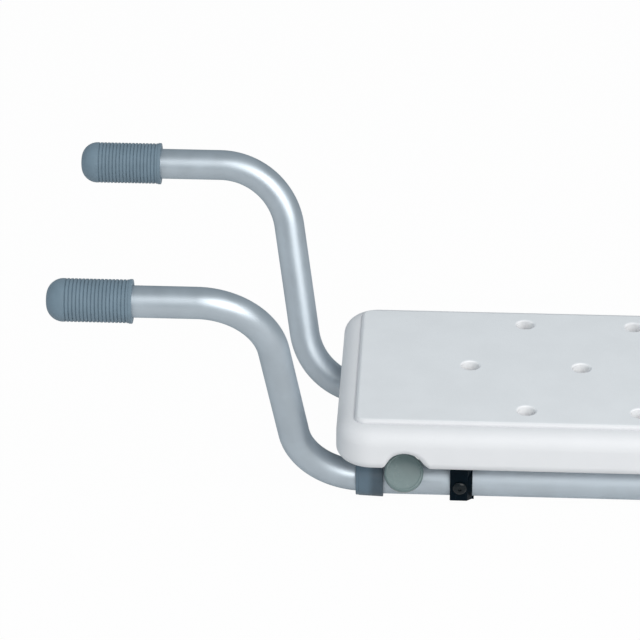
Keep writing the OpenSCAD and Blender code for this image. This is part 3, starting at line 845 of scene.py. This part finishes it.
def add_bump(material, height, distance, over=None):
    """Adds a bump to a material's surface, on top of another bump if one is given."""
    bump = add_node(material, "ShaderNodeBump")
    bump.inputs["Distance"].default_value = distance
    links = material.node_tree.links
    links.new(height, bump.inputs["Height"])
    if over is not None:
        links.new(over, bump.inputs["Normal"])
    return bump.outputs["Normal"]


def to_shader(material, **outputs):
    """Links outputs to the shader's inputs of the same names."""
    shader = material.node_tree.nodes["Principled BSDF"]
    for name, output in outputs.items():
        material.node_tree.links.new(output, shader.inputs[name.replace("_", " ")])


def moulded_plastic(name, color, roughness, grain, depth, mottle=0.05, **shader_values):
    """Moulded plastic or rubber: a fine grain, and patches a little lighter, darker and duller."""
    material = finish_material(name, color, roughness, **shader_values)
    patches = noise(material, PLASTIC_PATCH, 3)
    to_shader(
        material,
        Base_Color=patchy_color(material, patches, color, 1 - mottle, 1 + mottle),
        Roughness=ramp(material, patches, *PATCH_LEVELS, roughness - 0.05, roughness + 0.05),
        Normal=add_bump(material, noise(material, grain), depth),
    )
    return material


def collar_finish_with_painted_shade():
    """Collar's plastic, with painted shade: darker on the half next to the knob, where the knob's
    shadow falls.
    """
    # The colour, and how far the painted shade darkens it on the half next to the knob
    color, painted_shade_share = (0.116, 0.173, 0.222), 0.58
    material = finish_material("collar_plastic", color, 0.4)
    away = work_out(material, "ABSOLUTE", object_axes(material)["X"])
    inner_end = TUBE_END - COLLAR_SEAT
    fade_start, fade_end = inner_end + 0.3 * COLLAR_LEN, inner_end + 0.62 * COLLAR_LEN
    # Painted shade: the half of the collar next to the knob is darkened to stand in for the knob's
    # shadow
    painted_knob_shadow = ramp(material, away, fade_start, fade_end, 1, 0)
    patches = noise(material, PLASTIC_PATCH, 3)
    light_part = patchy_color(material, patches, color, 0.96, 1.06)
    to_shader(
        material,
        Base_Color=mix_colors(material, painted_knob_shadow, light_part, shade(color, painted_shade_share)),
        Roughness=ramp(material, patches, *PATCH_LEVELS, 0.36, 0.46),
        Normal=add_bump(material, noise(material, 0.8 * MM), 0.02 * MM),
    )
    return material


def satin_metal(name, color, roughness, grain, depth, tint, mottle=0.04):
    """Satin metal: a very fine blasted grain under the finish, with faint patches."""
    material = finish_material(name, color, roughness, 1.0, Specular_Tint=(*tint, 1))
    patches = noise(material, METAL_PATCH, 3)
    to_shader(
        material,
        Base_Color=patchy_color(material, patches, color, 1 - mottle, 1 + mottle),
        Roughness=ramp(material, patches, *PATCH_LEVELS, roughness - 0.03, roughness + 0.03),
        Normal=add_bump(material, noise(material, grain, 3), depth),
    )
    return material


def seat_plastic():
    """White board: a smooth satin skirt, a finely pebbled, duller panel with a painted cool tint, and
    painted light on the drain walls.
    """
    smooth_white = (0.815, 0.821, 0.838)
    # The panel's white is partly its own duller, pebbled face and partly a painted cool tint,
    # standing in for the cool light on the board's top
    panel_white_and_painted_cool_tint = (0.865, 0.885, 0.905)
    # Painted light: a lighter white for the drain walls, standing in for the light that falls into
    # the drains
    drain_painted_light_white = (0.95, 0.955, 0.965)
    material = finish_material("seat_plastic", smooth_white, 0.38)
    axes = object_axes(material)
    on_panel = ramp(material, axes["Z"], PANEL_Z - 0.7 * MM, PANEL_Z - 0.05 * MM, 0, 1)
    # Painted light: below the panel's face and inside the middle zone, the drain walls and the
    # board's underside there get the lighter white
    near_middle = []
    for axis, half in zip("XY", DRAIN_PAINTED_LIGHT_HALVES):
        away = work_out(material, "ABSOLUTE", axes[axis])
        near_middle.append(ramp(material, away, half, half + DRAIN_PAINTED_LIGHT_FADE, 1, 0))
    painted_light_in_drains = work_out(material, "MULTIPLY", *near_middle)
    patches = noise(material, BOARD_PATCH, 3)
    smooth_part = patchy_color(material, patches, smooth_white, 0.985, 1)
    panel_part = patchy_color(material, patches, panel_white_and_painted_cool_tint, 0.975, 1)
    low_part_with_painted_light = mix_colors(material, painted_light_in_drains, smooth_part, drain_painted_light_white)
    pebbles = work_out(material, "MULTIPLY", noise(material, 0.9 * MM), on_panel)
    ripple = add_bump(material, noise(material, 9 * MM, 1), 0.03 * MM)
    to_shader(
        material,
        Base_Color=mix_colors(material, on_panel, low_part_with_painted_light, panel_part),
        Roughness=ramp(material, on_panel, 0, 1, 0.5, 0.62),
        Normal=add_bump(material, pebbles, 0.22 * MM, over=ripple),
    )
    return material


def main_camera():
    """Camera at the photograph's place: above and in front of the left half."""
    camera = bpy.data.objects.new("camera", bpy.data.cameras.new("camera"))
    bpy.context.scene.collection.objects.link(camera)
    bpy.context.scene.camera = camera
    pitch, yaw, roll = (math.radians(angle) for angle in CAMERA_TURN)
    level = Vector((math.cos(yaw), -math.sin(yaw), 0))
    ahead = Vector((math.sin(yaw), math.cos(yaw), 0))
    forward = ahead * math.cos(pitch) - Vector((0, 0, math.sin(pitch)))
    upward = level.cross(forward)
    right = level * math.cos(roll) + upward * math.sin(roll)
    up = upward * math.cos(roll) - level * math.sin(roll)
    turn = Matrix((right, up, -forward)).transposed().to_4x4()
    place = Vector(CAMERA_PLACE) * MM + Vector((0, 0, AXIS_Z))
    camera.matrix_world = Matrix.Translation(place) @ turn
    camera.data.sensor_width = 36
    camera.data.lens = CAMERA_LENS
    camera.data.clip_start = 0.05
    camera.data.clip_end = 50


def area_light(name, place, target, size, power, color):
    """Soft rectangular light at a place, turned to its target."""
    light = bpy.data.lights.new(name, "AREA")
    light.shape = "RECTANGLE"
    light.size, light.size_y = size
    light.energy = power
    light.color = color
    lamp = bpy.data.objects.new(name, light)
    bpy.context.scene.collection.objects.link(lamp)
    lamp.location = place
    lamp.rotation_euler = (Vector(target) - Vector(place)).to_track_quat("-Z", "Y").to_euler()


def show_white(owner, own_look, white, ending, camera_share, glossy_share):
    """Shows white to the camera and partly in reflections, and the own look to all other light."""
    links = owner.node_tree.links
    path = add_node(owner, "ShaderNodeLightPath").outputs
    direct = work_out(owner, "MAXIMUM", path["Is Camera Ray"], path["Is Transmission Ray"])
    seen = work_out(owner, "MULTIPLY", direct, camera_share)
    mirrored = work_out(owner, "MULTIPLY", path["Is Glossy Ray"], glossy_share)
    mix = add_node(owner, "ShaderNodeMixShader")
    links.new(work_out(owner, "MAXIMUM", seen, mirrored), mix.inputs["Fac"])
    links.new(own_look.outputs[0], mix.inputs[1])
    links.new(white.outputs[0], mix.inputs[2])
    links.new(mix.outputs[0], ending.inputs["Surface"])


def studio():
    """White floor and world, a large soft light from the front right and a weak one from the left.

    The floor keeps a little of the object's shadow and lights it softly from below.
    """
    scene = bpy.context.scene
    scene.view_settings.view_transform = "Standard"
    deselect_all()
    bpy.ops.mesh.primitive_plane_add(size=12, location=(0, 0, 0))
    floor = bpy.context.object
    floor.name = "floor"
    pale = finish_material("floor", FLOOR_GREY, 0.9)
    nodes = pale.node_tree.nodes
    glow = add_node(pale, "ShaderNodeEmission")
    show_white(
        pale, nodes["Principled BSDF"], glow, nodes["Material Output"],
        camera_share=0.975, glossy_share=0.25,
    )
    floor.data.materials.append(pale)
    world = bpy.data.worlds.new("studio")
    scene.world = world
    world.use_nodes = True
    nodes = world.node_tree.nodes
    sky = nodes["Background"]
    sky.inputs["Color"].default_value = (*SKY_COLOR, 1)
    sky.inputs["Strength"].default_value = SKY_STRENGTH
    white = add_node(world, "ShaderNodeBackground")
    white.inputs["Color"].default_value = (1, 1, 1, 1)
    show_white(world, sky, white, nodes["World Output"], camera_share=1, glossy_share=0.03)
    area_light(
        "front_softbox", place=(0.95, -1.85, 1.7), target=(-0.15, 0, 0.08), size=(2.2, 2.2),
        power=51, color=(1, 0.975, 0.955),
    )
    area_light(
        "left_softbox", place=(-2.2, -0.35, 0.95), target=(-0.1, 0, 0.08), size=(1.5, 1.1),
        power=5, color=(0.86, 0.94, 1),
    )


board_white = seat_plastic()
aluminium = satin_metal(
    "satin_aluminium", (0.57, 0.632, 0.684), roughness=0.45, grain=0.5 * MM, depth=0.004 * MM,
    tint=(0.55, 0.6, 0.63),
)
matt_aluminium = satin_metal(
    "matt_aluminium", (0.6, 0.66, 0.71), roughness=0.6, grain=0.5 * MM, depth=0.004 * MM,
    tint=(0.6, 0.65, 0.68),
)
rubber = moulded_plastic(
    "grip_rubber", (0.187, 0.259, 0.316), roughness=0.5, grain=0.6 * MM, depth=0.05 * MM,
    Specular_IOR_Level=0.3,
)
knob_plastic = moulded_plastic(
    "knob_plastic", (0.162, 0.226, 0.226), roughness=0.24, grain=0.7 * MM, depth=0.012 * MM,
    mottle=0.03,
)
# Collar plastic, with painted shade on the half next to each knob
collar_plastic = collar_finish_with_painted_shade()
clip_plastic = moulded_plastic(
    "clip_plastic", (0.001, 0.006, 0.011), roughness=0.35, grain=0.7 * MM, depth=0.03 * MM,
    mottle=0.2, Specular_IOR_Level=0.06,
)
bolt_finish = moulded_plastic(
    "black_finish", (0.004, 0.009, 0.012), roughness=0.24, grain=0.4 * MM, depth=0.01 * MM,
    mottle=0.15, Specular_IOR_Level=0.3,
)
steel = satin_metal(
    "plated_steel", (0.5, 0.51, 0.53), roughness=0.28, grain=0.3 * MM, depth=0.003 * MM,
    tint=(0.7, 0.7, 0.72),
)
brass = satin_metal(
    "brass", (0.55, 0.4, 0.16), roughness=0.35, grain=0.4 * MM, depth=0.004 * MM,
    tint=(0.8, 0.7, 0.5),
)
plug_plastic = moulded_plastic(
    "plug_plastic", (0.05, 0.055, 0.065), roughness=0.45, grain=0.6 * MM, depth=0.03 * MM,
    mottle=0.12,
)
pad_plastic = moulded_plastic(
    "pad_plastic", (0.7, 0.68, 0.6), roughness=0.5, grain=0.6 * MM, depth=0.03 * MM
)

# Endings of the CAD nodes' names, and what each is made of
NODE_FINISHES = {
    "seat_board": board_white,
    "front_tube": matt_aluminium,
    "rear_tube": matt_aluminium,
    "arm_tube": aluminium,
    "grip": rubber,
    "collar": collar_plastic,
    "clamp_knob": knob_plastic,
    "seat_clip": clip_plastic,
    "clip_bolts": bolt_finish,
    "clip_nuts": steel,
    "seat_screws": steel,
    "clamp_screw": steel,
    "thread_bosses": steel,
    "seat_inserts": brass,
    "slide_plug": plug_plastic,
    "clamp_pad": pad_plastic,
}
for node_name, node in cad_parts.items():
    for ending, material in NODE_FINISHES.items():
        if node_name.endswith(ending):
            node.data.materials.clear()
            node.data.materials.append(material)

board = seat_board()
smooth(board)
board.name = "seat_board_finish"
board.data.materials.append(board_white)
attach(board, "bench")
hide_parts("seat_board")

rear_tube = cross_tube()
front_tube = mirrored_copy(rear_tube, 1, -1)
for tube, name in ((rear_tube, "rear_tube"), (front_tube, "front_tube")):
    tube.name = tube.data.name = name + "_finish"
    tube.data.materials.append(matt_aluminium)
    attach(tube, "bench")
    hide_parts(name)

at_corners(arm_tube(), "arm_tube", "{corner}_arm", aluminium, "{corner}_arm_tube")
at_corners(grip(), "grip", "{corner}_arm", rubber, "{corner}_grip")
at_corners(
    clamp_knob(), "clamp_knob", "{corner}_knob", knob_plastic, "{corner}_clamp_knob"
)
at_corners(collar(), "collar", "bench", collar_plastic, "{corner}_collar")
at_corners(seat_clip(), "seat_clip", "bench", clip_plastic, "{corner}_seat_clip")
at_corners(clip_bolt(), "clip_bolt", "bench", bolt_finish, "clip_bolts")
at_corners(seat_screw(), "seat_screw", "bench", steel, "seat_screws")

studio()
main_camera()

deselect_all()
